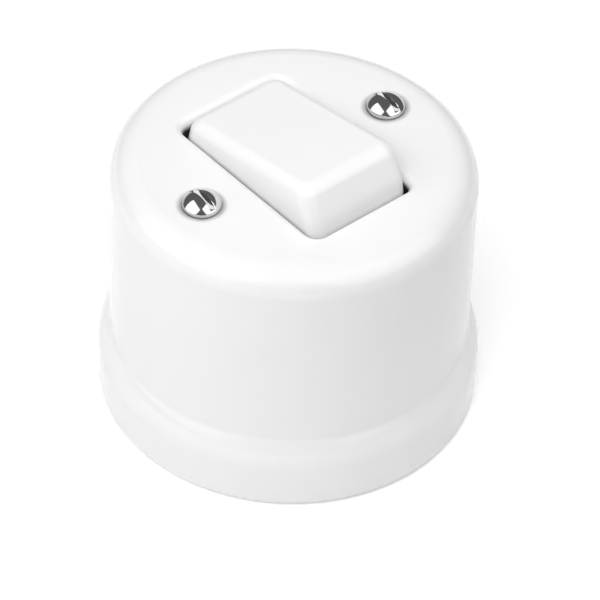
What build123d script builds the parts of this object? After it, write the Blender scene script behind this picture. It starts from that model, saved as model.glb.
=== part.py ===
from build123d import *
import os
from math import cos, hypot, radians, sin, sqrt, tan

# A surface-mounted porcelain rocker switch with two poles, in millimetres.
# X runs along the rocker's pivot, +Y towards the pressed end of the rocker at rest,
# and +Z out of the wall. The origin is the middle of the switch in the wall plane.

# Cover: one glazed porcelain casting, a drum that stands on a wider rounded flange
cover_height = 53.0
flange_radius = 35.0
flange_wall = 4.0
flange_rim_height = 9.3
flange_shoulder_radius = 7.5
flange_root_fillet = 1.5
flange_foot_fillet = 1.4
flange_step = 2.05
drum_draft = 0.2
drum_wall = 4.35
drum_edge_fillet = 5.0
cover_top_thickness = 5.0
cover_inner_fillet = 2.0
opening_corner_radius = 2.2
opening_lip_fillet = 1.6

# Cover screws, their shallow dished seats and the bosses inside the cover
cover_screw_inset = 11.55
cover_screw_thread = 3.5
cover_screw_length = 20.0
cover_head_radius = 3.45
cover_head_rim = 0.9
cover_head_height = 2.8
cover_slot_width = 1.0
cover_slot_depth = 1.5
cover_hole_clearance = 0.45
dish_radius = 4.8
dish_depth = 0.4
seat_clearance = 0.15
boss_radius = 5.5
boss_web_width = 6.0
boss_clearance = 0.7

# Rocker key: a hollow moulding whose ends are swept about the pivot
pivot_depth = 4.5
rocker_tilt = 9.5
key_crown = 9.8
key_top_length = 30.4
key_top_width = 19.6
key_end_slope = 24.0
key_side_slope = 15.0
key_end_break = 3.0
key_side_break = 5.7
key_skirt = 3.4
key_blend_radius = 6.0
key_corner_radius = 1.8
key_edge_fillet = 1.5
key_wall = 1.5
key_end_clearance = 0.5
key_side_clearance = 0.5

# Rocker cradle, which the key snaps on, and the pin that both turn about
pin_radius = 1.0
pin_running_clearance = 0.05
press_clearance = 0.01
cradle_width = 14.0
cradle_hub_radius = 2.9
cradle_web_half = 5.0
cradle_plate_width = 15.2
cradle_plate_length = 22.0
cradle_plate_thickness = 1.6
cradle_peg_radius = 1.2
cradle_peg_offset = 8.8
snap_rib_length = 3.0
snap_rib_depth = 1.5
snap_rib_grip = 0.8
snap_clearance = 0.05
sleeve_radius = 2.9
spring_seat_depth = 2.0

# Plungers and their springs
pole_offset = 4.0
plunger_radius = 1.7
plunger_reach = 16.0
plunger_exposure = 5.0
plunger_top_depth = 7.5
plunger_spigot_radius = 0.8
plunger_spigot_length = 1.6
plunger_clearance = 0.1
spring_wire_radius = 0.22
spring_coil_radius = 1.25
spring_turns = 4
spring_seat_gap = 0.02

# See-saw contacts on their knife edges
contact_width = 5.0
contact_thickness = 0.8
contact_tip_margin = 2.0
contact_back_gap = 3.6
trough_floor = 1.4
trough_half = 2.8
tip_clearance = 0.08
knife_radius = 0.5
knife_taper = 3.0
knife_clearance = 0.08
knife_seat_half = 1.3
knife_height = 9.0
rivet_head_radius = 1.8
rivet_head_height = 1.0
rivet_dome_radius = 5.0
rivet_shank_radius = 0.9
rivet_tail_radius = 1.2
rivet_tail_height = 0.4
contact_closed_gap = 0.08
fixed_head_radius = 1.6
fixed_head_height = 0.8

# Terminal strips, screws and clamp plates
strip_thickness = 1.5
strip_bend_radius = 0.5
load_upright_gap = 0.8
fixed_rivet_inset = 1.9
load_shelf_margin = 2.0
terminal_pad_width = 9.5
terminal_pad_offset = 7.4
terminal_screw_inset = 3.3
terminal_thread = 3.5
terminal_shank_length = 4.2
terminal_head_radius = 2.8
terminal_head_rim = 1.3
terminal_head_height = 2.1
clamp_length = 6.0
clamp_width = 8.4
clamp_thickness = 1.2
clamp_groove_radius = 1.0
thread_clearance = 0.05
small_slot_width = 0.8
small_slot_depth = 1.0

# Switch body: a dark moulding with two chambers, four wells and two ears
body_width = 31.0
wall_screw_access = 0.3
well_length = 6.9
chamber_clearance = 0.8
chamber_end_wall = 1.4
chamber_roof_room = 1.2
sleeve_slot_clearance = 0.4
well_wall = 1.6
well_depth = 9.0
barrier_thickness = 2.0
strip_slot_clearance = 0.2
rest_ledge_overlap = 0.8
rest_ledge_gap = 0.3
ear_thickness = 1.7
ear_base_half = 4.5
ear_round = 2.3
ear_cradle_gap = 0.3
body_edge_fillet = 0.6

# Bottom plate and its screws
bottom_plate_thickness = 2.0
bottom_corner_radius = 1.0
plate_screw_x = 12.4
plate_screw_y = 9.5
plate_screw_thread = 2.5
plate_screw_length = 8.0
plate_head_radius = 2.3
plate_head_rim = 1.0
plate_head_height = 1.6

# Bridge, its screws and the pillars
bridge_drop = 7.5
bridge_thickness = 1.2
bridge_center_width = 18.0
bridge_center_length = 31.0
bridge_end_width = 11.0
bridge_window_width = 18.6
bridge_window_length = 12.4
bridge_window_corner = 1.0
bridge_screw_x = 12.4
bridge_screw_thread = 3.0
bridge_screw_length = 7.0
bridge_head_radius = 2.6
bridge_head_rim = 1.0
bridge_head_height = 1.6
pillar_flats = 7.0
spigot_radius = 2.7
spigot_clearance = 0.1
peen_radius = 3.2
peen_height = 0.4
pillar_bore_depth = 14.0

# Base: a porcelain disc inside the cover's foot
base_thickness = 10.0
base_clearance = 0.3
base_edge_fillet = 0.5
base_foot_width = 3.7
base_recess_depth = 3.0
cable_hole_radius = 7.5
cable_collar = 3.0
cable_fillet = 1.0
wall_hole_inset = 6.2
wall_hole_radius = 2.25
countersink_radius = 3.7
wall_pad_radius = 5.2
pillar_pad_radius = 6.5
pillar_screw_thread = 3.5
pillar_screw_engagement = 6.0
pillar_head_radius = 3.3
pillar_head_rim = 1.4
pillar_head_height = 2.4
counterbore_clearance = 0.4
counterbore_depth = 4.4

# Radii and places that follow from the flange
margin = 1.0
rebate_radius = flange_radius - flange_wall
base_radius = rebate_radius - base_clearance
base_recess_radius = base_radius - base_foot_width
drum_foot_radius = flange_radius - flange_step
drum_top_radius = drum_foot_radius - drum_draft
cover_inner_radius = drum_top_radius - drum_wall
cover_screw_offset = drum_top_radius - cover_screw_inset
wall_hole_offset = base_radius - wall_hole_inset
body_length = 2 * (wall_hole_offset - countersink_radius - wall_screw_access)
body_block_length = body_length - 2 * well_length
terminal_screw_offset = body_length / 2 - terminal_screw_inset

# Key: the swept ends and upright sides start where the sloping faces stop
end_slope = radians(key_end_slope)
side_slope = radians(key_side_slope)
key_break_half = key_top_length / 2 + (key_crown - key_end_break) * tan(end_slope)
key_sweep_radius = hypot(key_break_half, key_end_break)
key_width = key_top_width + 2 * (key_crown - key_side_break) * tan(side_slope)

# Heights that follow from the sizes above
pivot_z = cover_height - pivot_depth
bridge_top = pivot_z - bridge_drop
body_top = bridge_top - bridge_thickness
knife_depth = plunger_reach + tip_clearance + trough_floor
knife_z = pivot_z - knife_depth
floor_z = knife_z - knife_height
screw_seat = cover_height - dish_depth
boss_foot = bridge_top + boss_clearance
plate_ceiling = key_crown - key_wall

# Path of a plunger tip as the see-saw meets it: both turn by the same angle, opposite ways
swing = radians(rocker_tilt)
tip_depth = plunger_reach - plunger_radius
tip_low = knife_depth - tip_depth
tip_high = knife_depth * cos(swing) - tip_depth * cos(2 * swing)
tip_side = sin(swing) * (2 * tip_depth * cos(swing) - knife_depth)
tip_path_radius = (tip_side**2 + (tip_high - tip_low) ** 2) / (2 * (tip_high - tip_low))
trough_radius = tip_path_radius + plunger_radius + tip_clearance
trough_center = trough_floor + trough_radius
arm_top = trough_center - sqrt(trough_radius**2 - trough_half**2)
arm_bottom = arm_top - contact_thickness

# Lengthwise places, from the end of the chambers in to the rivets
chamber_end = body_block_length / 2 - chamber_end_wall
load_upright_inner = chamber_end - load_upright_gap - strip_thickness
fixed_y = load_upright_inner - fixed_rivet_inset
dome_center = arm_bottom - rivet_head_height + rivet_dome_radius
rivet_arm = (fixed_y - dome_center * sin(swing)) / cos(swing)
contact_front_arm = rivet_arm + contact_tip_margin
contact_back_arm = chamber_end - contact_back_gap
rest_ledge_start = contact_back_arm - rest_ledge_overlap

# How far down the moving rivet's dome comes, and so the top of the fixed contact
dome_low = dome_center * cos(swing) - rivet_arm * sin(swing) - rivet_dome_radius
fixed_top = knife_z + dome_low - contact_closed_gap
shelf_top = fixed_top - fixed_head_height

# Chambers and slots of the body
chamber_width = contact_width + 2 * chamber_clearance
tail_top = (arm_top + rivet_tail_height) * cos(swing) + (rivet_arm + rivet_tail_radius) * sin(swing)
chamber_roof = knife_z + tail_top + chamber_roof_room
sleeve_length = plunger_reach - plunger_exposure
slot_half = sleeve_radius + sleeve_length * sin(swing) + sleeve_slot_clearance
ear_inner = cradle_width / 2 + ear_cradle_gap
strip_top = floor_z + strip_thickness
outer_bend_radius = strip_bend_radius + strip_thickness
arm_end_z = knife_z + arm_bottom * cos(swing) - contact_back_arm * sin(swing)

sides = (-1, 1)


def near(vertices, x, y):
    """Pick the vertex of a flat outline that is nearest to a point."""
    return vertices.sort_by_distance(Vector(x, y, 0))[0]


def span_box(x_span, y_span, z_span):
    """Make a box from its low and high ends along X, Y and Z."""
    size = [high - low for low, high in (x_span, y_span, z_span)]
    middle = [(high + low) / 2 for low, high in (x_span, y_span, z_span)]
    return Pos(*middle) * Box(*size)


def rod(radius, low, high, x=0.0, y=0.0):
    """Make an upright cylinder between two heights."""
    return Pos(x, y, (low + high) / 2) * Cylinder(radius, high - low)


def cross_rod(radius, length, z):
    """Make a cylinder along X, centred on the middle plane."""
    return Pos(0, 0, z) * Rot(0, 90, 0) * Cylinder(radius, length)


def section(y_span, z_span):
    """Make a rectangle of a Y-Z section."""
    size = [high - low for low, high in (y_span, z_span)]
    middle = [(high + low) / 2 for low, high in (y_span, z_span)]
    return Pos(*middle) * Rectangle(*size)


def prism(sketch, width, x=0.0):
    """Extrude a Y-Z section evenly to both sides of a plane at x."""
    return Pos(x, 0, 0) * extrude(Plane.YZ * sketch, width / 2, both=True)


def tilt_rocker(shape):
    """Turn a piece drawn level about the origin to the rocker's rest, raised end at -Y."""
    return Pos(0, 0, pivot_z) * Rot(-rocker_tilt, 0, 0) * shape


def tilt_contact(shape):
    """Turn a see-saw piece drawn level about its knife edge to its rest, far end raised."""
    return Pos(0, 0, knife_z) * Rot(rocker_tilt, 0, 0) * shape


def slotted_screw(head_radius, rim, head_height, thread, length, slot_width, slot_depth):
    """Make a screw that points down, with the underside of its head at the origin."""
    shank_radius = thread / 2
    point = shank_radius / 4
    outline = Polyline(
        (0, head_height),
        (0, -length),
        (shank_radius - point, -length),
        (shank_radius, point - length),
        (shank_radius, 0),
        (head_radius, 0),
        (head_radius, rim),
    )
    dome = TangentArc((0, head_height), (head_radius, rim), tangent=(1, 0))
    screw = revolve(Plane.XZ * make_face([outline, dome]), Axis.Z)
    slot_z = (head_height - slot_depth, head_height + margin)
    return screw - span_box(
        (-slot_width / 2, slot_width / 2), (-head_radius - margin, head_radius + margin), slot_z
    )


def cover_section():
    """Draw the half section of the cover that is revolved about Z."""
    shoulder_x = flange_radius - flange_shoulder_radius
    drum_reach = drum_foot_radius - shoulder_x
    drum_foot_z = flange_rim_height + sqrt(flange_shoulder_radius**2 - drum_reach**2)
    inside_z = cover_height - cover_top_thickness
    lower = Polyline(
        (0, inside_z),
        (cover_inner_radius, inside_z),
        (cover_inner_radius, base_thickness),
        (rebate_radius, base_thickness),
        (rebate_radius, 0),
        (flange_radius, 0),
        (flange_radius, flange_rim_height),
    )
    shoulder = TangentArc(
        (flange_radius, flange_rim_height), (drum_foot_radius, drum_foot_z), tangent=(0, 1)
    )
    upper = Polyline(
        (drum_foot_radius, drum_foot_z),
        (drum_top_radius, cover_height),
        (0, cover_height),
        (0, inside_z),
    )
    face = make_face([lower, shoulder, upper])
    face = fillet(near(face.vertices(), flange_radius, 0), flange_foot_fillet)
    face = fillet(near(face.vertices(), drum_foot_radius, drum_foot_z), flange_root_fillet)
    face = fillet(near(face.vertices(), drum_top_radius, cover_height), drum_edge_fillet)
    return fillet(near(face.vertices(), cover_inner_radius, inside_z), cover_inner_fillet)


def cover_boss(side):
    """Make a boss under the cover's top, with its web to the drum wall."""
    x = side * cover_screw_offset
    top = cover_height - cover_top_thickness / 2
    wall_x = (cover_inner_radius + drum_top_radius) / 2
    web = span_box(
        sorted((x, side * wall_x)), (-boss_web_width / 2, boss_web_width / 2), (boss_foot, top)
    )
    return rod(boss_radius, boss_foot, top, x) + web


def cover():
    """Make the porcelain cover with its rocker opening and dished screw seats."""
    shell = revolve(Plane.XZ * cover_section(), Axis.Z)
    dish_sphere = (dish_radius**2 + dish_depth**2) / (2 * dish_depth)
    for side in sides:
        shell += cover_boss(side)
    opening = RectangleRounded(
        key_width + 2 * key_side_clearance,
        2 * (key_sweep_radius + key_end_clearance),
        opening_corner_radius,
    )
    shell -= extrude(Pos(0, 0, boss_foot) * opening, cover_height)
    for side in sides:
        x = side * cover_screw_offset
        shell -= rod(cover_screw_thread / 2 + cover_hole_clearance, 0, cover_height, x)
        shell -= Pos(x, 0, screw_seat + dish_sphere) * Sphere(dish_sphere)
        shell -= rod(cover_head_radius + seat_clearance, screw_seat, cover_height, x)
    top_face = shell.faces().filter_by(Axis.Z).sort_by(Axis.Z)[-1]
    lips = top_face.inner_wires()
    opening_lip = lips.sort_by(SortBy.LENGTH)[-1]
    return fillet(opening_lip.edges(), opening_lip_fillet)


def cover_screws():
    """Make the two domed screws that hold the cover."""
    screw = slotted_screw(
        cover_head_radius,
        cover_head_rim,
        cover_head_height,
        cover_screw_thread,
        cover_screw_length,
        cover_slot_width,
        cover_slot_depth,
    )
    return Compound([Pos(side * cover_screw_offset, 0, screw_seat) * screw for side in sides])


def base():
    """Make the porcelain base with its wall holes, cable hole and hollow back."""
    disc = rod(base_radius, 0, base_thickness)
    top_edge = disc.edges().filter_by(GeomType.CIRCLE).sort_by(Axis.Z)[-1]
    disc = fillet(top_edge, base_edge_fillet)
    recess = rod(base_recess_radius, -margin, base_recess_depth)
    recess -= rod(cable_hole_radius + cable_collar, -margin, base_recess_depth)
    for side in sides:
        recess -= rod(pillar_pad_radius, -margin, base_recess_depth, side * cover_screw_offset)
        recess -= rod(wall_pad_radius, -margin, base_recess_depth, 0, side * wall_hole_offset)
    disc -= recess
    disc -= rod(cable_hole_radius, -margin, base_thickness + margin)
    cable_edge = [
        edge
        for edge in disc.edges().filter_by(GeomType.CIRCLE)
        if abs(edge.radius - cable_hole_radius) < press_clearance and edge.center().Z > margin
    ]
    disc = fillet(cable_edge, cable_fillet)
    sink_depth = countersink_radius - wall_hole_radius
    sink = Cone(wall_hole_radius, countersink_radius, sink_depth)
    for side in sides:
        pillar_x = side * cover_screw_offset
        wall_y = side * wall_hole_offset
        disc -= rod(pillar_screw_thread / 2 + thread_clearance, 0, base_thickness, pillar_x)
        disc -= rod(pillar_head_radius + counterbore_clearance, 0, counterbore_depth, pillar_x)
        disc -= rod(wall_hole_radius, 0, base_thickness, 0, wall_y)
        disc -= Pos(0, wall_y, base_thickness - sink_depth / 2) * sink
    return disc


def support_pillars():
    """Make the two hexagonal pillars, each with a spigot peened over the bridge."""
    pillar = extrude(RegularPolygon(pillar_flats / 2, 6, major_radius=False), body_top - base_thickness)
    pillar = Pos(0, 0, base_thickness) * pillar
    pillar += rod(spigot_radius, body_top, bridge_top)
    pillar += rod(peen_radius, bridge_top, bridge_top + peen_height)
    top_bore = cover_screw_thread / 2 + thread_clearance
    foot_bore = pillar_screw_thread / 2 + thread_clearance
    pillar -= rod(top_bore, bridge_top - pillar_bore_depth, bridge_top + margin)
    pillar -= rod(foot_bore, base_thickness - margin, base_thickness + pillar_screw_engagement + margin)
    return Compound([Pos(side * cover_screw_offset, 0, 0) * pillar for side in sides])


def pillar_screws():
    """Make the two screws that hold the pillars from behind the base."""
    screw = slotted_screw(
        pillar_head_radius,
        pillar_head_rim,
        pillar_head_height,
        pillar_screw_thread,
        base_thickness - counterbore_depth + pillar_screw_engagement,
        small_slot_width,
        small_slot_depth,
    )
    return Compound(
        [
            Pos(side * cover_screw_offset, 0, counterbore_depth) * Rot(180, 0, 0) * screw
            for side in sides
        ]
    )


def bridge():
    """Make the steel strap that carries the mechanism between the pillars."""
    end_radius = bridge_end_width / 2
    strap = SlotCenterToCenter(2 * cover_screw_offset, bridge_end_width)
    strap += RectangleRounded(bridge_center_length, bridge_center_width, bridge_window_corner)
    roots = [v for v in strap.vertices() if abs(abs(v.Y) - end_radius) < press_clearance]
    roots = [v for v in roots if abs(v.X) < cover_screw_offset - press_clearance]
    strap = fillet(roots, bridge_window_corner)
    strap -= RectangleRounded(bridge_window_width, bridge_window_length, bridge_window_corner)
    for side in sides:
        strap -= Pos(side * cover_screw_offset, 0) * Circle(spigot_radius + spigot_clearance)
        strap -= Pos(side * bridge_screw_x, 0) * Circle(bridge_screw_thread / 2 + spigot_clearance)
    return Pos(0, 0, body_top) * extrude(strap, bridge_thickness)


def bridge_screws():
    """Make the two screws that hold the switch body up against the bridge."""
    screw = slotted_screw(
        bridge_head_radius,
        bridge_head_rim,
        bridge_head_height,
        bridge_screw_thread,
        bridge_screw_length,
        small_slot_width,
        small_slot_depth,
    )
    return Compound([Pos(side * bridge_screw_x, 0, bridge_top) * screw for side in sides])


def ear(side):
    """Make one ear that rises through the bridge to carry the pivot pin."""
    taper = Polygon(
        (-ear_base_half, body_top - margin),
        (ear_base_half, body_top - margin),
        (ear_base_half, bridge_top),
        (ear_round, pivot_z),
        (-ear_round, pivot_z),
        (-ear_base_half, bridge_top),
        align=None,
    )
    outline = taper + Pos(0, pivot_z) * Circle(ear_round)
    return prism(outline, ear_thickness, side * (ear_inner + ear_thickness / 2))


def chamber(side):
    """Make the hollow of one pole: the room of the see-saw and the slot of its sleeve."""
    x = side * pole_offset
    room = section((-chamber_end, chamber_end), (floor_z - margin, chamber_roof))
    slot = section((-slot_half, slot_half), (chamber_roof - margin, body_top + margin))
    hollow = prism(room + slot, chamber_width, x)
    ledge_top = arm_end_z - rest_ledge_gap
    ledge_foot = strip_top + strip_slot_clearance
    return hollow - prism(
        section((-chamber_end - margin, -rest_ledge_start), (ledge_foot, ledge_top)),
        chamber_width + margin,
        x,
    )


def terminal_well(end):
    """Make the open space of the two terminal wells at one end of the body."""
    inner = body_width / 2 - well_wall
    y_span = sorted((end * body_block_length / 2, end * (body_length / 2 + margin)))
    well = span_box((-inner, inner), y_span, (floor_z - margin, body_top + margin))
    barrier = span_box(
        (-barrier_thickness / 2, barrier_thickness / 2), y_span, (floor_z - margin, floor_z + well_depth)
    )
    return well - barrier


def switch_body():
    """Make the moulding that holds both poles, with its ears and terminal wells."""
    half = body_width / 2
    block = RectangleRounded(body_width, body_length, body_edge_fillet)
    body = Pos(0, 0, floor_z) * extrude(block, body_top - floor_z)
    for end in sides:
        y_span = sorted((end * body_block_length / 2, end * (body_length / 2 + margin)))
        body -= terminal_well(end)
        body -= span_box((-half, half), y_span, (floor_z + well_depth, body_top + margin))
    strip_half = contact_width / 2 + strip_slot_clearance
    for side in sides:
        x = side * pole_offset
        body -= chamber(side)
        body -= span_box(
            (x - strip_half, x + strip_half),
            (-body_block_length, body_block_length),
            (floor_z - margin, strip_top + strip_slot_clearance),
        )
        body += ear(side)
        pilot_low = bridge_top - bridge_screw_length - margin
        body -= rod(bridge_screw_thread / 2 + thread_clearance, pilot_low, body_top, side * bridge_screw_x)
        body -= rod(
            plate_screw_thread / 2 + thread_clearance,
            floor_z,
            floor_z + plate_screw_length,
            side * plate_screw_x,
            -side * plate_screw_y,
        )
    return body - cross_rod(pin_radius + press_clearance, body_width, pivot_z)


def bottom_plate():
    """Make the insulating plate under the chambers, which the strips lie on."""
    outline = RectangleRounded(body_width, body_length, bottom_corner_radius)
    plate = Pos(0, 0, floor_z - bottom_plate_thickness) * extrude(outline, bottom_plate_thickness)
    for side in sides:
        for end in sides:
            plate -= rod(
                terminal_thread / 2 + spigot_clearance,
                floor_z - bottom_plate_thickness,
                floor_z,
                side * terminal_pad_offset,
                end * terminal_screw_offset,
            )
        plate -= rod(
            plate_screw_thread / 2 + spigot_clearance,
            floor_z - bottom_plate_thickness,
            floor_z,
            side * plate_screw_x,
            -side * plate_screw_y,
        )
    return plate


def plate_screws():
    """Make the two screws that hold the bottom plate."""
    screw = slotted_screw(
        plate_head_radius,
        plate_head_rim,
        plate_head_height,
        plate_screw_thread,
        plate_screw_length,
        small_slot_width,
        small_slot_depth,
    )
    foot = floor_z - bottom_plate_thickness
    return Compound(
        [
            Pos(side * plate_screw_x, -side * plate_screw_y, foot) * Rot(180, 0, 0) * screw
            for side in sides
        ]
    )


def pivot_pin():
    """Make the pin that the rocker turns on, flush with both ears."""
    return cross_rod(pin_radius, 2 * (ear_inner + ear_thickness), pivot_z)


def terminal_pad(side, end):
    """Make the wide end of a strip in its well, with the hole of its screw."""
    x = side * terminal_pad_offset
    start = body_block_length / 2 + strip_slot_clearance
    stop = body_length / 2 - strip_slot_clearance
    return span_box(
        (x - terminal_pad_width / 2, x + terminal_pad_width / 2),
        sorted((end * start, end * stop)),
        (floor_z, strip_top),
    )


def screw_hole(side, end):
    """Make the threaded hole of a terminal."""
    radius = terminal_thread / 2 + thread_clearance
    hole = rod(radius, floor_z - margin, strip_top + margin)
    return Pos(side * terminal_pad_offset, end * terminal_screw_offset, 0) * hole


def line_terminal(side):
    """Make a line terminal: a strip bent up into the knife edge of the see-saw."""
    pad_start = body_block_length / 2 + margin
    half = strip_thickness / 2
    outline = section((-pad_start, half), (floor_z, strip_top))
    outline += section((-half, half), (floor_z, knife_z - knife_taper))
    outline += Polygon(
        (-half, knife_z - knife_taper),
        (half, knife_z - knife_taper),
        (knife_radius, knife_z),
        (-knife_radius, knife_z),
        align=None,
    )
    outline = fillet(near(outline.vertices(), -half, strip_top), strip_bend_radius)
    outline = fillet(near(outline.vertices(), half, floor_z), outer_bend_radius)
    outline += Pos(0, knife_z) * Circle(knife_radius)
    strip = prism(outline, contact_width, side * pole_offset)
    return strip + terminal_pad(side, -1) - screw_hole(side, -1)


def load_terminal(side):
    """Make a load terminal: a strip bent up and over into the shelf of the fixed contact."""
    pad_start = body_block_length / 2 + margin
    outer = load_upright_inner + strip_thickness
    outline = section((load_upright_inner, pad_start), (floor_z, strip_top))
    outline += section((load_upright_inner, outer), (floor_z, shelf_top))
    shelf_end = fixed_y - load_shelf_margin
    outline += section((shelf_end, outer), (shelf_top - strip_thickness, shelf_top))
    shelf_under = shelf_top - strip_thickness
    outline = fillet(near(outline.vertices(), outer, strip_top), strip_bend_radius)
    outline = fillet(near(outline.vertices(), load_upright_inner, floor_z), outer_bend_radius)
    outline = fillet(near(outline.vertices(), outer, shelf_top), outer_bend_radius)
    outline = fillet(near(outline.vertices(), load_upright_inner, shelf_under), strip_bend_radius)
    strip = prism(outline, contact_width, side * pole_offset)
    rivet_hole = rod(
        rivet_shank_radius + press_clearance, shelf_under - margin, fixed_top, side * pole_offset, fixed_y
    )
    return strip + terminal_pad(side, 1) - screw_hole(side, 1) - rivet_hole


def fixed_rivets():
    """Make the two fixed contacts, riveted through the shelves."""
    under = shelf_top - strip_thickness
    rivet = rod(rivet_shank_radius, under, shelf_top)
    rivet += rod(fixed_head_radius, shelf_top, fixed_top)
    rivet += rod(rivet_tail_radius, under - rivet_tail_height, under)
    return Compound([Pos(side * pole_offset, fixed_y, 0) * rivet for side in sides])


def terminal_screws():
    """Make the four terminal screws."""
    screw = slotted_screw(
        terminal_head_radius,
        terminal_head_rim,
        terminal_head_height,
        terminal_thread,
        terminal_shank_length,
        small_slot_width,
        small_slot_depth,
    )
    seat = strip_top + clamp_thickness
    return Compound(
        [
            Pos(side * terminal_pad_offset, end * terminal_screw_offset, seat) * screw
            for side in sides
            for end in sides
        ]
    )


def clamp_plates():
    """Make the four plates that press the wires on the strips, each with its wire groove."""
    blank = RectangleRounded(clamp_width, clamp_length, clamp_groove_radius / 2)
    plate = extrude(blank, clamp_thickness)
    groove_x = clamp_width / 2 - clamp_groove_radius
    for side in sides:
        plate -= Pos(side * groove_x, 0, 0) * Rot(90, 0, 0) * Cylinder(clamp_groove_radius / 2, clamp_width)
    plate -= rod(terminal_thread / 2 + thread_clearance, -margin, clamp_thickness + margin)
    return Compound(
        [
            Pos(side * terminal_pad_offset, end * terminal_screw_offset, strip_top) * plate
            for side in sides
            for end in sides
        ]
    )


def moving_contact(side):
    """Make a see-saw strip: two arms, a trough for the plunger and a seat for the knife edge."""
    bend_half = trough_half + contact_thickness
    outline = section((-contact_back_arm, contact_front_arm), (arm_bottom, arm_top))
    bend = Pos(0, trough_center) * Circle(trough_radius + contact_thickness)
    outline += bend & section((-bend_half, bend_half), (trough_floor - contact_thickness, arm_top))
    outline += section((-knife_seat_half, knife_seat_half), (0, trough_floor))
    outline -= Pos(0, trough_center) * Circle(trough_radius)
    outline -= Circle(knife_radius + knife_clearance)
    strip = prism(outline, contact_width, side * pole_offset)
    hole = rod(
        rivet_shank_radius + press_clearance, 0, trough_center, side * pole_offset, rivet_arm
    )
    return tilt_contact(strip - hole)


def moving_rivet(side):
    """Make the silver rivet of a see-saw, domed towards the fixed contact."""
    low = arm_bottom - rivet_head_height
    head = rod(rivet_head_radius, low, arm_bottom)
    head &= Pos(0, 0, low + rivet_dome_radius) * Sphere(rivet_dome_radius)
    rivet = head + rod(rivet_shank_radius, arm_bottom, arm_top)
    rivet += rod(rivet_tail_radius, arm_top, arm_top + rivet_tail_height)
    return tilt_contact(Pos(side * pole_offset, rivet_arm, 0) * rivet)


def key_form(inset):
    """Make the key's solid form, or its hollow when every face is moved in by the wall."""
    crown = key_crown - inset
    skirt = key_skirt + (margin if inset else 0)
    height = crown + skirt
    end_half = key_top_length / 2 - inset * (1 / cos(end_slope) - tan(end_slope))
    side_half = key_top_width / 2 - inset * (1 / cos(side_slope) - tan(side_slope))
    end_foot = end_half + height * tan(end_slope)
    side_foot = side_half + height * tan(side_slope)
    end_outline = Polygon(
        (-end_foot, -skirt), (end_foot, -skirt), (end_half, crown), (-end_half, crown), align=None
    )
    end_outline &= Circle(key_sweep_radius - inset)
    side_outline = Polygon(
        (-side_foot, -skirt), (side_foot, -skirt), (side_half, crown), (-side_half, crown), align=None
    )
    side_outline &= section((inset - key_width / 2, key_width / 2 - inset), (-skirt, crown))
    end_outline = fillet(key_breaks(end_outline, crown, skirt), key_blend_radius)
    side_outline = fillet(key_breaks(side_outline, crown, skirt), key_blend_radius)
    form = prism(end_outline, key_width)
    form &= extrude(Plane.XZ * side_outline, key_sweep_radius, both=True)
    corners = [edge for edge in form.edges() if edge.bounding_box().size.Z > press_clearance]
    form = fillet(corners, key_corner_radius - inset)
    top = form.faces().sort_by(Axis.Z)[-1]
    return fillet(top.outer_wire().edges(), key_edge_fillet - inset * key_edge_fillet / key_corner_radius)


def key_breaks(outline, crown, skirt):
    """List the corners of an outline where a sloping face turns into the skirt."""
    return [v for v in outline.vertices() if press_clearance - skirt < v.Y < crown - press_clearance]


def rocker_key():
    """Make the hollow key, with the pegs and snap ribs that hold it on the cradle."""
    key = key_form(0) - key_form(key_wall)
    peg_foot = plate_ceiling - cradle_plate_thickness
    rib_top = peg_foot - snap_clearance
    rib_x = cradle_plate_width / 2 - snap_rib_grip
    for end in sides:
        y = end * cradle_peg_offset
        key += rod(cradle_peg_radius, peg_foot, plate_ceiling + key_wall / 2, 0, y)
        for side in sides:
            key += span_box(
                sorted((side * rib_x, side * (key_width - key_wall) / 2)),
                (y - snap_rib_length / 2, y + snap_rib_length / 2),
                (rib_top - snap_rib_depth, rib_top),
            )
    return tilt_rocker(key)


def rocker_cradle():
    """Make the carrier of the key: hub, web, top plate and two plunger sleeves."""
    plate_foot = plate_ceiling - cradle_plate_thickness
    web = Polygon(
        (-cradle_hub_radius, 0),
        (cradle_hub_radius, 0),
        (cradle_web_half, plate_foot),
        (-cradle_web_half, plate_foot),
        align=None,
    )
    cradle = prism(web + Circle(cradle_hub_radius), cradle_width)
    plate = RectangleRounded(cradle_plate_width, cradle_plate_length, key_corner_radius / 2)
    cradle += Pos(0, 0, plate_foot) * extrude(plate, cradle_plate_thickness)
    bore_radius = plunger_radius + plunger_clearance
    for side in sides:
        x = side * pole_offset
        cradle += rod(sleeve_radius, -sleeve_length, 0, x)
        cradle -= rod(bore_radius, -sleeve_length - margin, -spring_seat_depth, x)
        peg_hole = cradle_peg_radius + snap_clearance
        cradle -= rod(peg_hole, plate_foot - margin, plate_ceiling + margin, 0, side * cradle_peg_offset)
    cradle -= cross_rod(pin_radius + pin_running_clearance, cradle_width + margin, 0)
    return tilt_rocker(cradle)


def plunger(side):
    """Make a plunger with a rounded tip and a spigot that centres its spring."""
    stem = rod(plunger_radius, -tip_depth, -plunger_top_depth)
    stem += Pos(0, 0, -tip_depth) * Sphere(plunger_radius)
    stem += rod(plunger_spigot_radius, -plunger_top_depth, plunger_spigot_length - plunger_top_depth)
    return tilt_rocker(Pos(side * pole_offset, 0, 0) * stem)


def spring(side):
    """Make the coil spring between the sleeve's blind end and the plunger."""
    low = -plunger_top_depth + spring_wire_radius + spring_seat_gap
    high = -spring_seat_depth - spring_wire_radius - spring_seat_gap
    height = high - low
    path = Helix(height / spring_turns, height, spring_coil_radius)
    wire = Plane(origin=path @ 0, z_dir=path % 0) * Circle(spring_wire_radius)
    coil = sweep(wire, path, is_frenet=True)
    return tilt_rocker(Pos(side * pole_offset, 0, low) * coil)


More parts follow.
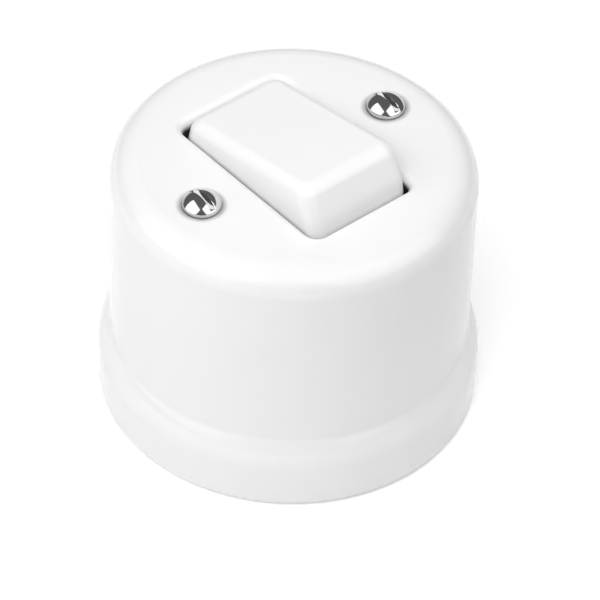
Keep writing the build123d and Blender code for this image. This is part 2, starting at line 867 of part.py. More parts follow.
def assembly():
    """List every piece of the switch under its own name."""
    pieces = {
        "cover": cover(),
        "base": base(),
        "cover_screws": cover_screws(),
        "support_pillars": support_pillars(),
        "pillar_screws": pillar_screws(),
        "bridge": bridge(),
        "bridge_screws": bridge_screws(),
        "switch_body": switch_body(),
        "bottom_plate": bottom_plate(),
        "plate_screws": plate_screws(),
        "pivot_pin": pivot_pin(),
        "fixed_rivets": fixed_rivets(),
        "terminal_screws": terminal_screws(),
        "clamp_plates": clamp_plates(),
        "rocker_key": rocker_key(),
        "rocker_cradle": rocker_cradle(),
    }
    for name, side in (("left", -1), ("right", 1)):
        pieces["line_terminal_" + name] = line_terminal(side)
        pieces["load_terminal_" + name] = load_terminal(side)
        pieces["moving_contact_" + name] = moving_contact(side)
        pieces["moving_rivet_" + name] = moving_rivet(side)
        pieces["plunger_" + name] = plunger(side)
        pieces["spring_" + name] = spring(side)
    return pieces


os.makedirs("parts", exist_ok=True)
for node, shape in assembly().items():
    export_step(shape, "parts/" + node + ".step")
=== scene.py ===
from math import acos, asin, atan, cos, degrees, hypot, pi, radians, sin, tan

import bmesh
import bpy
from mathutils import Matrix, Vector

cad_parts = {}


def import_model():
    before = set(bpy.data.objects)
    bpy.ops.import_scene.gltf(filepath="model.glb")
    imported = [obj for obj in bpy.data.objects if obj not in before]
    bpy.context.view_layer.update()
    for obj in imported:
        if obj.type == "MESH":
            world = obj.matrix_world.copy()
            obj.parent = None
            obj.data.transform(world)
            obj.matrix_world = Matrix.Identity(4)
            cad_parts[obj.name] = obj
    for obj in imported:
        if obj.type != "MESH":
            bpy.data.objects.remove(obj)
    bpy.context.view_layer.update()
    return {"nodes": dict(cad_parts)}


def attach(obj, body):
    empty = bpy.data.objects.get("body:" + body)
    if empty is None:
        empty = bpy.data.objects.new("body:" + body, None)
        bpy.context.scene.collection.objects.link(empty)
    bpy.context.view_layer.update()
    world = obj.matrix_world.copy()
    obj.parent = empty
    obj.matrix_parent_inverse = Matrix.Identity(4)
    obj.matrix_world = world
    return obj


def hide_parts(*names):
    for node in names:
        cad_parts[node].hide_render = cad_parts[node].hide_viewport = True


# A surface-mounted porcelain rocker switch, dressed for the camera. Sizes are in metres,
# in the frame of the CAD model: +Z out of the wall, X along the rocker's pivot.

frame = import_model()
nodes = frame["nodes"]

sides = (-1, 1)

# Cover, as in the CAD model
cover_height = 0.053
flange_radius = 0.035
flange_rim_height = 0.0093
shoulder_radius = 0.0075
root_fillet = 0.0015
foot_fillet = 0.0014
drum_foot_radius = 0.03295
drum_top_radius = 0.03275
drum_edge_fillet = 0.005
drum_inner_radius = 0.0284
rebate_radius = 0.031
rebate_height = 0.010
ceiling = 0.048
ceiling_fillet = 0.0014
ring_margin = 0.0001
opening_half_width = 0.0114
opening_half_length = 0.01897
opening_corner = 0.0022
lip_fillet = 0.0016
lip_ring = 0.0026
cover_turns = 192

# Where painted shade darkens the cover's opening and inside, standing for the shade that falls
# there: heights, and distances from the axis
painted_shade_begins = 0.0519
painted_shade_full = 0.0505
throat_reach = 0.0238
cavity_reach = 0.0295
fade = 0.0003

# Painted shade: a soft dark ring round each cover screw, standing for the shade at the foot of its
# head
screw_shade_inner = 0.0036
screw_shade_outer = 0.0048
screw_shade_depth = 0.5
# The colour of the painted shade, inside the cover and round the screws
painted_shade_colour = (0.03, 0.028, 0.026, 1.0)

# Cover screws and the seats under their heads
screw_offset = 0.0212
dish_radius = 0.0048
dish_soft = 0.0008
dish_round = dish_soft * 4
seat_radius = 0.0036
seat_height = 0.0526
dish_foot = 0.05282
hole_radius = 0.0022
boss_radius = 0.0055
boss_foot = 0.0417
boss_fillet = root_fillet / 3
boss_turns = 72
web_half = 0.003
web_bite = 0.001
head_radius = 0.00345
head_rim = 0.0009
head_height = 0.0028
head_turns = 64
shank_radius = 0.00175
shank_length = 0.020
point_radius = shank_radius * 3 / 4
point_length = shank_radius / 4
slot_half = 0.0005
slot_floor = 0.0013
rim_round = 0.0004
edge_break = 0.00006

# Rocker key, fitted to the photograph. Its greatest width and its sweep are those of the CAD key.
pivot_height = 0.0485
key_tilt = radians(9.5)
key_crown = 0.0092
key_half_length = 0.0162
key_half_width = 0.0105
end_slope = radians(18.1)
side_slope = radians(6.0)
end_break = 0.0030
side_break = 0.0054
key_skirt = 0.0034
key_blend = 0.006
side_blend = 0.022
key_corner = 0.0026
key_edge = 0.0029
rim_turn = radians(70.0)
key_wall = 0.0009
cradle_plate = 0.0016
snap_gap = 0.00005
peg_radius = 0.0012
peg_offset = 0.0088
rib_inner = 0.0068
rib_half = 0.0015
rib_depth = 0.0015

# How finely forms are drawn
smooth_angle = radians(32.0)
degrees_per_segment = 10
least_segments = 3
opening_segments = 12
lip_segments = 8
sweep_steps = 6
blend_segments = 4
corner_segments = 10
rim_segments = 8
peg_turns = 24
dome_steps = 14
lip_wear_segments = 2

# How near two points are taken as one, and a point as lying on the slot's wall
merge_reach = 0.0000001
slot_reach = edge_break / 9


class Wire:
    """A socket of a shader. Arithmetic on it adds Math nodes."""

    def __init__(self, shader, socket):
        self.shader = shader
        self.socket = socket

    def math(self, operation, *others):
        """Work out an operation on this value and others."""
        sockets = dict(enumerate((self, *others)))
        return self.shader.node("Math", sockets, {"operation": operation})

    def __add__(self, other):
        return self.math("ADD", other)

    def __mul__(self, other):
        return self.math("MULTIPLY", other)

    def __sub__(self, other):
        return self.math("SUBTRACT", other)

    __radd__ = __add__
    __rmul__ = __mul__


class Shader:
    """A node tree under construction, of a material or of the world."""

    def __init__(self, tree):
        self.tree = tree
        self.tree.nodes.clear()

    def node(self, kind, inputs=None, settings=None, output=0):
        """Add a node, apply its settings, fill its sockets and return one of its outputs."""
        node = self.tree.nodes.new("ShaderNode" + kind)
        for name, value in (settings or {}).items():
            setattr(node, name, value)
        for name, value in (inputs or {}).items():
            if isinstance(value, Wire):
                self.tree.links.new(value.socket, node.inputs[name])
            else:
                node.inputs[name].default_value = value
        return Wire(self, node.outputs[output]) if node.outputs else None

    def place(self):
        """The place on the object, in metres."""
        return self.node("TexCoord", output="Object")

    def noise(self, vector, scale, detail=2.0, roughness=0.5):
        """Soft noise from 0 to 1. Scale is in features per metre."""
        sockets = {"Vector": vector, "Scale": scale, "Detail": detail, "Roughness": roughness}
        return self.node("TexNoise", sockets, output="Fac")

    def stretch(self, vector, scale):
        """The same place, squeezed or stretched along the axes."""
        return self.node("Mapping", {"Vector": vector, "Scale": scale})

    def mix(self, factor, low, high):
        """A colour between two, by a factor from 0 to 1."""
        return self.node("Mix", {0: factor, 6: low, 7: high}, {"data_type": "RGBA"}, output=2)

    def tint(self, factor, low, high):
        """A colour between two that are written as red, green and blue."""
        return self.mix(factor, (*low, 1.0), (*high, 1.0))

    def ramp(self, value, empty, full):
        """A smooth step of a value, from 0 at one end to 1 at the other."""
        sockets = {"Value": value, "From Min": empty, "From Max": full}
        return self.node("MapRange", sockets, {"interpolation_type": "SMOOTHSTEP"})

    def bump(self, height, depth, strength=1.0):
        """A bump of that depth in metres."""
        sockets = {"Height": height, "Distance": depth, "Strength": strength}
        return self.node("Bump", sockets)

    def seen(self):
        """1 where the camera sees a thing directly, mirrored or through glass, and 0 for light."""
        kinds = ("Camera", "Glossy", "Transmission")
        direct, mirrored, through = [
            self.node("LightPath", output="Is %s Ray" % kind) for kind in kinds
        ]
        return direct + mirrored + through

    def surface(self, sockets):
        """The finished surface of a material."""
        skin = self.node("BsdfPrincipled", sockets)
        self.node("OutputMaterial", {"Surface": skin})


def material(name):
    """Start a material and return it with its shader."""
    made = bpy.data.materials.new(name)
    made.use_nodes = True
    return made, Shader(made.node_tree)


def glazed_porcelain():
    """White ware under a clear gloss glaze, with dark, dull painted shade inside the cover and a
    painted dark ring round each screw head.
    """
    made, s = material("glazed_porcelain")
    place = s.place()
    cloud = s.noise(place, 60.0)
    ripple = s.noise(place, 220.0, detail=1.0)
    x, y, z = [s.node("SeparateXYZ", {0: place}, output=axis) for axis in range(3)]
    reach = (x * x + y * y).math("SQRT")
    # Painted shade down the opening's wall and over the cover's inside, where little light reaches
    throat_shade = s.ramp(z, painted_shade_begins, painted_shade_full) * s.ramp(reach, throat_reach + fade, throat_reach)
    cavity_shade = s.ramp(z, ceiling + fade, ceiling) * s.ramp(reach, cavity_reach + fade, cavity_reach)
    painted_shade = throat_shade.math("MAXIMUM", cavity_shade) * s.ramp(z, rebate_height, rebate_height + fade)
    from_screw = x.math("ABSOLUTE") - screw_offset
    # Painted shade round each screw head, where the head shades the glaze
    screw_shade = s.ramp((from_screw * from_screw + y * y).math("SQRT"), screw_shade_outer, screw_shade_inner)
    shade = painted_shade.math("MAXIMUM", screw_shade * screw_shade_depth)
    white = s.tint(cloud, (0.845, 0.848, 0.85), (0.875, 0.875, 0.872))
    s.surface({
        "Base Color": s.mix(shade, white, painted_shade_colour),
        "Roughness": 0.07 + 0.05 * s.noise(place, 500.0) + 0.6 * painted_shade,
        "Normal": s.bump(ripple, 0.00006, 0.5),
        "IOR": 1.52,
    })
    return made


def white_plastic():
    """Smooth glossy white moulding."""
    made, s = material("white_plastic")
    place = s.place()
    s.surface({
        "Base Color": s.tint(s.noise(place, 90.0), (0.88, 0.882, 0.885), (0.9, 0.9, 0.9)),
        "Roughness": 0.2 + 0.08 * s.noise(place, 900.0),
        "Normal": s.bump(s.noise(place, 1500.0), 0.00001, 0.3),
        "IOR": 1.49,
    })
    return made


def chrome_plate():
    """Bright plate over turned brass."""
    made, s = material("chrome_plate")
    place = s.place()
    s.surface({
        "Base Color": s.tint(s.noise(place, 400.0), (0.72, 0.72, 0.73), (0.82, 0.82, 0.82)),
        "Metallic": 1.0,
        "Roughness": 0.05 + 0.08 * s.noise(place, 2500.0),
        "Normal": s.bump(s.noise(place, 1800.0), 0.00001, 0.2),
    })
    return made


def plain_metal(name, low, high, roughness):
    """Sheet or turned metal with fine rolling marks and slight tarnish."""
    made, s = material(name)
    place = s.place()
    marks = s.noise(s.stretch(place, (1.0, 1.0, 12.0)), 900.0, detail=4.0)
    tarnish = s.noise(place, 250.0, detail=4.0)
    s.surface({
        "Base Color": s.tint(tarnish, low, high),
        "Metallic": 1.0,
        "Roughness": roughness + 0.18 * marks,
        "Normal": s.bump(marks, 0.00002, 0.5),
    })
    return made


def dull_moulding(name, low, high, roughness, grain):
    """Compression moulding or board with a mottled, slightly rough face."""
    made, s = material(name)
    place = s.place()
    fleck = s.noise(place, grain, detail=6.0, roughness=0.7)
    s.surface({
        "Base Color": s.tint(fleck, low, high),
        "Roughness": roughness + 0.2 * fleck,
        "Normal": s.bump(fleck, 0.00004, 0.4),
    })
    return made


porcelain = glazed_porcelain()
key_white = white_plastic()
chrome = chrome_plate()
brass = plain_metal("rolled_brass", (0.62, 0.42, 0.16), (0.83, 0.64, 0.32), 0.22)
steel = plain_metal("zinc_plated_steel", (0.5, 0.5, 0.52), (0.66, 0.66, 0.67), 0.28)
silver = plain_metal("contact_silver", (0.74, 0.73, 0.7), (0.86, 0.85, 0.83), 0.2)
dark_moulding = dull_moulding("dark_moulding", (0.03, 0.022, 0.018), (0.07, 0.05, 0.04), 0.3, 700.0)
board = dull_moulding("insulating_board", (0.12, 0.07, 0.04), (0.22, 0.14, 0.08), 0.5, 500.0)
nylon = dull_moulding("natural_nylon", (0.74, 0.73, 0.68), (0.8, 0.79, 0.75), 0.35, 300.0)

finishes = {
    "cover": porcelain,
    "base": porcelain,
    "cover_screws": chrome,
    "support_pillars": brass,
    "pillar_screws": steel,
    "bridge": steel,
    "bridge_screws": steel,
    "switch_body": dark_moulding,
    "bottom_plate": board,
    "plate_screws": steel,
    "pivot_pin": steel,
    "fixed_rivets": silver,
    "terminal_screws": brass,
    "clamp_plates": brass,
    "rocker_key": key_white,
    "rocker_cradle": nylon,
}
for side_name in ("left", "right"):
    finishes["line_terminal_" + side_name] = brass
    finishes["load_terminal_" + side_name] = brass
    finishes["moving_contact_" + side_name] = brass
    finishes["moving_rivet_" + side_name] = silver
    finishes["plunger_" + side_name] = nylon
    finishes["spring_" + side_name] = steel

for node_name, finish in finishes.items():
    piece = nodes[node_name]
    for index in range(len(piece.material_slots)):
        piece.material_slots[index].material = finish
    if not piece.material_slots:
        piece.data.materials.append(finish)


def everything(bm):
    """All the geometry of a mesh."""
    return bm.verts[:] + bm.edges[:] + bm.faces[:]


def verts_in(geometry):
    """The vertices among the results of an operation."""
    return [item for item in geometry if isinstance(item, bmesh.types.BMVert)]


def turn_at(vertex):
    """How far an outline turns at a vertex that joins two edges."""
    first, second = [edge.other_vert(vertex).co - vertex.co for edge in vertex.link_edges]
    return pi - first.angle(second)


def round_vertex(bm, vertex, radius):
    """Round one corner of an outline."""
    turn = turn_at(vertex)
    bmesh.ops.bevel(
        bm, geom=[vertex], offset=radius * tan(turn / 2), offset_type="OFFSET",
        segments=max(least_segments, round(degrees(turn) / degrees_per_segment)), profile=0.5,
        affect="VERTICES", clamp_overlap=False, material=-1,
    )


def bevel_edges(bm, edges, offset, segments):
    """Round some edges of a solid."""
    bmesh.ops.bevel(
        bm, geom=edges, offset=offset, offset_type="OFFSET", segments=segments, profile=0.5,
        affect="EDGES", clamp_overlap=False, material=-1,
    )


def chain(bm, corners, axis_x=0.0):
    """Draw an open outline in the X-Z plane. Each corner is a radius, a height and a rounding."""
    points = [bm.verts.new((axis_x + reach, 0, height)) for reach, height, rounding in corners]
    for first, second in zip(points, points[1:]):
        bm.edges.new((first, second))
    before = set(bm.verts) - set(points)
    for point, (reach, height, rounding) in zip(points, corners):
        if rounding:
            round_vertex(bm, point, rounding)
    return [v for v in bm.verts if v not in before]


def revolve(bm, outline, turns, axis_x=0.0):
    """Turn an outline once round an upright axis."""
    edges = {edge for vertex in outline for edge in vertex.link_edges}
    bmesh.ops.spin(
        bm, geom=outline + list(edges), cent=(axis_x, 0, 0), axis=(0, 0, 1), dvec=(0, 0, 0),
        angle=2 * pi, steps=turns, use_merge=True,
    )


def open_edges(bm, height):
    """The open edges of a shell at one height."""
    return [
        edge for edge in bm.edges
        if edge.is_boundary and all(abs(v.co.z - height) < edge_break for v in edge.verts)
    ]


def cap(bm, height, normal):
    """Close a shell at one height with a flat face, leaving out what the loops inside ring."""
    bmesh.ops.triangle_fill(
        bm, edges=open_edges(bm, height), use_beauty=True, use_dissolve=False, normal=normal
    )


def dress(name, bm, finish, slot, body, *replaced):
    """Make a piece of a finished bmesh, smooth over its soft edges, and hang it on its body."""
    bmesh.ops.remove_doubles(bm, verts=bm.verts, dist=merge_reach)
    bmesh.ops.recalc_face_normals(bm, faces=bm.faces)
    for face in bm.faces:
        face.smooth = True
    for edge in bm.edges:
        edge.smooth = edge.calc_face_angle(0.0) < smooth_angle
    mesh = bpy.data.meshes.new(name)
    bm.to_mesh(mesh)
    bm.free()
    made = bpy.data.objects.new(name, mesh)
    bpy.context.scene.collection.objects.link(made)
    mesh.materials.append(finish)
    even = made.modifiers.new("even_shading", "WEIGHTED_NORMAL")
    even.keep_sharp = True
    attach(made, body)
    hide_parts(*replaced)


def add_block(bm, low, high):
    """Add a closed block between two corners."""
    block = bmesh.ops.create_cube(bm, size=1.0)["verts"]
    size = [b - a for a, b in zip(low, high)]
    middle = [(a + b) / 2 for a, b in zip(low, high)]
    bmesh.ops.scale(bm, verts=block, vec=size)
    bmesh.ops.translate(bm, verts=block, vec=middle)


def opening(bm):
    """Make the rocker's opening: a ring of the top, the rounded lip and the wall below."""
    reach_x = opening_half_width + lip_ring
    reach_y = opening_half_length + lip_ring
    corners = [(-reach_x, -reach_y), (reach_x, -reach_y), (reach_x, reach_y), (-reach_x, reach_y)]
    face = bm.faces.new([bm.verts.new((x, y, cover_height)) for x, y in corners])
    bmesh.ops.bevel(
        bm, geom=face.verts[:], offset=opening_corner + lip_ring, offset_type="OFFSET",
        segments=opening_segments, profile=0.5, affect="VERTICES", clamp_overlap=False, material=-1,
    )
    bmesh.ops.inset_region(
        bm, faces=bm.faces[:], thickness=lip_ring, use_even_offset=True, use_boundary=True
    )
    inner = max(bm.faces, key=lambda f: len(f.verts))
    lip = inner.edges[:]
    bmesh.ops.delete(bm, geom=[inner], context="FACES_ONLY")
    wall = bmesh.ops.extrude_edge_only(bm, edges=lip)["geom"]
    bmesh.ops.translate(bm, verts=verts_in(wall), vec=(0, 0, ceiling - cover_height))
    bevel_edges(bm, lip, lip_fillet, lip_segments)


def cover():
    """Make the porcelain cover: drum on its flange, opening, dished screw seats and bosses."""
    bm = bmesh.new()
    opening(bm)
    bend = shoulder_radius + root_fillet
    turn = acos((drum_foot_radius + bend - flange_radius) / bend)
    slack = 0.999
    shoulder_corner = flange_rim_height + shoulder_radius * tan(turn / 2)
    root_corner = flange_rim_height + bend * sin(turn) - root_fillet * tan(turn / 2)
    shell = chain(bm, [
        (drum_inner_radius - ceiling_fillet - ring_margin, ceiling, 0),
        (drum_inner_radius, ceiling, ceiling_fillet),
        (drum_inner_radius, rebate_height, 0),
        (rebate_radius, rebate_height, 0),
        (rebate_radius, 0, 0),
        (flange_radius, 0, foot_fillet),
        (flange_radius, shoulder_corner, shoulder_radius * slack),
        (drum_foot_radius, root_corner, root_fillet * slack),
        (drum_top_radius, cover_height, drum_edge_fillet),
        (drum_top_radius - drum_edge_fillet - ring_margin, cover_height, 0),
    ])
    revolve(bm, shell, cover_turns)
    for side in sides:
        seat = chain(bm, [
            (dish_radius + dish_soft, cover_height, 0),
            (dish_radius, cover_height, dish_round),
            (seat_radius, dish_foot, edge_break),
            (seat_radius, seat_height, edge_break),
            (hole_radius, seat_height, edge_break),
            (hole_radius, boss_foot, edge_break),
            (boss_radius, boss_foot, boss_fillet),
            (boss_radius, ceiling, 0),
        ], side * screw_offset)
        revolve(bm, seat, boss_turns, side * screw_offset)
    cap(bm, cover_height, (0, 0, 1))
    cap(bm, ceiling, (0, 0, -1))
    web_inner = screw_offset + hole_radius + web_bite
    web_outer = drum_inner_radius + web_bite
    for side in sides:
        low_x, high_x = sorted((side * web_inner, side * web_outer))
        add_block(bm, (low_x, -web_half, boss_foot), (high_x, web_half, ceiling + web_bite))
    return bm


def leans(face, axis):
    """Whether a face looks mostly along one axis."""
    size = [abs(part) for part in face.normal]
    return size.index(max(size)) == axis


def between(edge, first, second):
    """Whether an edge parts a face that looks along one axis from one that looks along another."""
    if len(edge.link_faces) != 2:
        return False
    one, other = edge.link_faces
    straight = leans(one, first) and leans(other, second)
    return straight or (leans(one, second) and leans(other, first))


def swept_end(bm):
    """Draw the outline of one end of the key, its skirt swept about the pivot."""
    reach = key_half_length + (key_crown - end_break) * tan(end_slope)
    sweep = hypot(reach, end_break)
    start = bm.verts.new((0, reach, end_break))
    turn = asin(end_break / sweep) + asin(key_skirt / sweep)
    bmesh.ops.spin(
        bm, geom=[start], cent=(0, 0, 0), axis=(-1, 0, 0), dvec=(0, 0, 0), angle=turn,
        steps=sweep_steps, use_merge=False,
    )
    top = bm.verts.new((0, key_half_length, key_crown))
    bm.edges.new((top, start))
    round_vertex(bm, start, key_blend)


def rocker_key():
    """Make the skin of the key: sloping faces, swept ends and rounded edges, open below."""
    bm = bmesh.new()
    swept_end(bm)
    half = bm.verts[:] + bm.edges[:]
    bmesh.ops.mirror(bm, geom=half, axis="Y", merge_dist=0)
    for height in (key_crown, -key_skirt):
        pair = [v for v in bm.verts if abs(v.co.z - height) < edge_break]
        bm.edges.new(pair)
    outline = bmesh.ops.edgeloop_fill(bm, edges=bm.edges[:])["faces"]
    width = key_half_width + (key_crown - side_break) * tan(side_slope)
    bmesh.ops.translate(bm, verts=bm.verts[:], vec=(-width, 0, 0))
    far = bmesh.ops.extrude_face_region(bm, geom=outline)["geom"]
    bmesh.ops.translate(bm, verts=verts_in(far), vec=(2 * width, 0, 0))
    bmesh.ops.recalc_face_normals(bm, faces=bm.faces)
    for side in sides:
        bmesh.ops.bisect_plane(
            bm, geom=everything(bm), dist=merge_reach,
            plane_co=(side * key_half_width, 0, key_crown),
            plane_no=(side * cos(side_slope), 0, sin(side_slope)),
            clear_outer=True, clear_inner=False,
        )
        bmesh.ops.holes_fill(bm, edges=[e for e in bm.edges if e.is_boundary], sides=0)
    bmesh.ops.recalc_face_normals(bm, faces=bm.faces)
    lean_edges = [
        e for e in bm.edges
        if len(e.link_faces) == 2 and all(leans(f, 0) for f in e.link_faces)
    ]
    bevel_edges(bm, lean_edges, side_blend * tan(side_slope / 2), blend_segments)
    bevel_edges(bm, [e for e in bm.edges if between(e, 0, 1)], key_corner, corner_segments)
    crown = [f for f in bm.faces if f.normal.z > cos(side_slope) and f.calc_center_median().z > 0]
    rim = {e for f in crown for e in f.edges}
    bevel_edges(bm, list(rim), key_edge * tan(rim_turn / 2), rim_segments)
    floor_faces = [f for f in bm.faces if f.normal.z < -cos(side_slope)]
    bmesh.ops.delete(bm, geom=floor_faces, context="FACES_ONLY")
    return bm


def key_grips(bm):
    """Add the pegs and snap ribs that hold the key on its cradle."""
    roof = key_crown - key_wall
    rib_top = roof - cradle_plate - snap_gap
    rib_outer = key_half_width + (key_crown - side_break) * tan(side_slope) - key_wall / 2
    for end in sides:
        y = end * peg_offset
        peg = bmesh.ops.create_cone(
            bm, cap_ends=True, segments=peg_turns, radius1=peg_radius, radius2=peg_radius,
            depth=cradle_plate + key_wall / 2,
        )["verts"]
        bmesh.ops.translate(bm, verts=peg, vec=(0, y, roof - (cradle_plate - key_wall / 2) / 2))
        for side in sides:
            low_x, high_x = sorted((side * rib_inner, side * rib_outer))
            low = (low_x, y - rib_half, rib_top - rib_depth)
            add_block(bm, low, (high_x, y + rib_half, rib_top))


def finished_key():
    """Give the key its wall and grips, and tip it to its rest."""
    bm = rocker_key()
    bmesh.ops.solidify(bm, geom=bm.faces[:], thickness=key_wall)
    key_grips(bm)
    tip = Matrix.Translation((0, 0, pivot_height)) @ Matrix.Rotation(-key_tilt, 4, "X")
    bmesh.ops.transform(bm, matrix=tip, verts=bm.verts)
    return bm


def screw_dome(bm):
    """Turn the outline of a screw: domed head, shank and point."""
    sag = head_height - head_rim
    dome = (head_radius**2 + sag**2) / (2 * sag)
    crown = bm.verts.new((0, 0, head_height))
    arc = bmesh.ops.spin(
        bm, geom=[crown], cent=(0, 0, head_height - dome), axis=(0, 1, 0), dvec=(0, 0, 0),
        angle=asin(head_radius / dome), steps=dome_steps, use_merge=False,
    )
    edge_of_dome = verts_in(arc["geom_last"])[0]
    lower = [
        (head_radius, 0), (shank_radius, 0), (shank_radius, point_length - shank_length),
        (point_radius, -shank_length), (0, -shank_length),
    ]
    last = edge_of_dome
    for reach, height in lower:
        point = bm.verts.new((reach, 0, height))
        bm.edges.new((last, point))
        last = point
    round_vertex(bm, edge_of_dome, rim_round)
    bmesh.ops.spin(
        bm, geom=bm.verts[:] + bm.edges[:], cent=(0, 0, 0), axis=(0, 0, 1), dvec=(0, 0, 0),
        angle=2 * pi, steps=head_turns, use_merge=True,
    )
    bmesh.ops.remove_doubles(bm, verts=bm.verts, dist=merge_reach)


def cut_slot(bm):
    """Cut the driver slot across a screw head, with a lightly worn lip."""
    walls_and_floor = (
        ((slot_half, 0, 0), (1, 0, 0)),
        ((-slot_half, 0, 0), (1, 0, 0)),
        ((0, 0, slot_floor), (0, 0, 1)),
    )
    for place, normal in walls_and_floor:
        bmesh.ops.bisect_plane(
            bm, geom=everything(bm), dist=merge_reach, plane_co=place, plane_no=normal,
            clear_outer=False, clear_inner=False,
        )
    inside = [
        f for f in bm.faces
        if abs(f.calc_center_median().x) < slot_half and f.calc_center_median().z > slot_floor
    ]
    bmesh.ops.delete(bm, geom=inside, context="FACES")
    rim = [e for e in bm.edges if e.is_boundary]
    walls = []
    for side in sides:
        arc = [e for e in rim if all(abs(v.co.x - side * slot_half) < slot_reach for v in e.verts)]
        ends = {}
        for e in arc:
            for v in e.verts:
                ends[v] = ends.get(v, 0) + 1
        foot = bm.edges.new([v for v, count in ends.items() if count == 1])
        bmesh.ops.edgeloop_fill(bm, edges=arc + [foot])
        walls.append(foot)
    bmesh.ops.edgeloop_fill(bm, edges=walls + [e for e in rim if e.is_valid and e.is_boundary])
    bmesh.ops.recalc_face_normals(bm, faces=bm.faces)
    lip = [
        e for e in bm.edges
        if all(abs(abs(v.co.x) - slot_half) < slot_reach for v in e.verts)
        and any(v.co.z > slot_floor + edge_break for v in e.verts)
    ]
    bevel_edges(bm, lip, edge_break, lip_wear_segments)


def cover_screws():
    """Make both cover screws, their slots along the rocker."""
    bm = bmesh.new()
    screw_dome(bm)
    cut_slot(bm)
    bmesh.ops.translate(bm, verts=bm.verts, vec=(-screw_offset, 0, seat_height))
    twin = bmesh.ops.duplicate(bm, geom=everything(bm))["geom"]
    bmesh.ops.translate(bm, verts=verts_in(twin), vec=(2 * screw_offset, 0, 0))
    return bm


dress("glazed_cover", cover(), porcelain, "glazed_porcelain", "housing", "cover")
dress("white_key", finished_key(), key_white, "white_plastic", "rocker", "rocker_key")
dress("chrome_screws", cover_screws(), chrome, "chrome_plate", "housing", "cover_screws")

# Camera: placed by fitting the photograph's outline
camera_azimuth = radians(41.4)
camera_elevation = radians(42.7)
camera_distance = 0.675
camera_roll = radians(2.07)
focal_pixels = 3728.0
image_side = 600.0
aim_u, aim_v = 291.26, 263.2
aim_height = 0.027
sensor_width = 36.0

# Studio
lamp_distance = 0.9
ambient = 0.1
floor_colour = (0.9, 0.9, 0.9)
floor_lift = 0.24
tent_radius = 1.4
tent_glow = 0.12
floor_half = 3.0
view_reach = 20.0


def camera():
    """Make the camera at the photograph's viewpoint."""
    data = bpy.data.cameras.new("camera")
    data.sensor_width = sensor_width
    data.lens = focal_pixels / image_side * sensor_width
    data.clip_end = view_reach
    made = bpy.data.objects.new("camera", data)
    bpy.context.scene.collection.objects.link(made)
    pan = atan((aim_u - image_side / 2) / focal_pixels)
    tilt = atan((aim_v - image_side / 2) * cos(pan) / focal_pixels)
    level = camera_distance * cos(camera_elevation)
    place = Matrix.Translation((
        -level * sin(camera_azimuth),
        -level * cos(camera_azimuth),
        aim_height + camera_distance * sin(camera_elevation),
    ))
    turn = Matrix.Rotation(-camera_azimuth, 4, "Z")
    turn = turn @ Matrix.Rotation(pi / 2 - camera_elevation, 4, "X")
    turn = turn @ Matrix.Rotation(camera_roll, 4, "Z")
    turn = turn @ Matrix.Rotation(tilt, 4, "X") @ Matrix.Rotation(pan, 4, "Y")
    made.matrix_world = place @ turn
    bpy.context.scene.camera = made


def softbox(name, azimuth, elevation, width, height, glow, lights=True, mirrored=True):
    """Make a soft lamp by its bearing from the camera, to light dull faces or show in gloss."""
    data = bpy.data.lights.new(name, "AREA")
    data.shape = "RECTANGLE"
    data.size = width
    data.size_y = height
    data.energy = glow * pi * width * height
    made = bpy.data.objects.new(name, data)
    made.visible_camera = False
    made.visible_glossy = mirrored
    made.visible_diffuse = lights
    bpy.context.scene.collection.objects.link(made)
    bearing = camera_azimuth + radians(azimuth)
    rise = radians(elevation)
    way = Vector((-cos(rise) * sin(bearing), -cos(rise) * cos(bearing), sin(rise)))
    aim = Matrix.Rotation(-bearing, 4, "Z") @ Matrix.Rotation(pi / 2 - rise, 4, "X")
    place = Vector((0, 0, aim_height)) + lamp_distance * way
    made.matrix_world = Matrix.Translation(place) @ aim


def world():
    """Light the world evenly, and show it white to the camera."""
    made = bpy.data.worlds.new("studio")
    bpy.context.scene.world = made
    made.use_nodes = True
    s = Shader(made.node_tree)
    strength = ambient + (1.0 - ambient) * s.seen()
    light = s.node("Background", {"Color": (1.0, 1.0, 1.0, 1.0), "Strength": strength})
    s.node("OutputWorld", {"Surface": light})


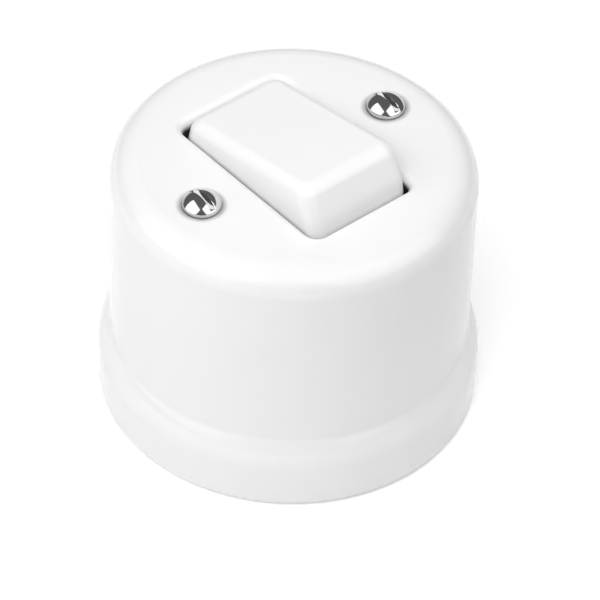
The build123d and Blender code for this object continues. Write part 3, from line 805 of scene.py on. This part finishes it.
def stage_piece(name, bm, finish):
    """Make a thing of the studio, which isn't part of the switch."""
    mesh = bpy.data.meshes.new(name)
    bm.to_mesh(mesh)
    bm.free()
    made = bpy.data.objects.new(name, mesh)
    bpy.context.scene.collection.objects.link(made)
    mesh.materials.append(finish)
    return made


def floor():
    """Make the pale floor, lifted to white where the camera sees it unshaded."""
    bm = bmesh.new()
    bmesh.ops.create_grid(bm, x_segments=1, y_segments=1, size=floor_half)
    bmesh.ops.translate(bm, verts=bm.verts, vec=(0, 0, -edge_break))
    pale, s = material("floor_white")
    paint = s.node("BsdfDiffuse", {"Color": (*floor_colour, 1.0)})
    glow = s.node("Emission", {"Strength": floor_lift * s.seen()})
    s.node("OutputMaterial", {"Surface": s.node("AddShader", {0: paint, 1: glow})})
    stage_piece("floor", bm, pale)


def dark_tent():
    """Hang a dark tent behind the lamps, for the bright metal and the glaze to mirror."""
    bm = bmesh.new()
    bmesh.ops.create_uvsphere(bm, u_segments=48, v_segments=24, radius=tent_radius)
    below = [v for v in bm.verts if v.co.z < -edge_break]
    bmesh.ops.delete(bm, geom=below, context="VERTS")
    dark, s = material("tent_dark")
    s.node("OutputMaterial", {"Surface": s.node("Emission", {"Strength": tent_glow})})
    tent = stage_piece("dark_tent", bm, dark)
    tent.visible_camera = False
    tent.visible_diffuse = False
    tent.visible_shadow = False
    tent.visible_transmission = False


camera()
world()
floor()
dark_tent()
softbox("left_window", 64.0, 35.0, 1.2, 1.0, 1.25, lights=False)
softbox("right_window", -62.0, 40.0, 1.15, 1.0, 1.25, lights=False)
softbox("front_softbox", 18.0, 53.0, 0.75, 0.6, 3.35, mirrored=False)
softbox("top_softbox", 0.0, 89.0, 0.5, 0.5, 2.8, mirrored=False)
softbox("right_softbox", -88.0, 50.0, 0.6, 0.6, 0.95, mirrored=False)
softbox("left_softbox", 76.0, 32.0, 0.9, 0.6, 1.4, mirrored=False)
softbox("rear_softbox", -130.0, 50.0, 0.6, 0.6, 1.4, mirrored=False)
bpy.context.scene.view_settings.view_transform = "Standard"
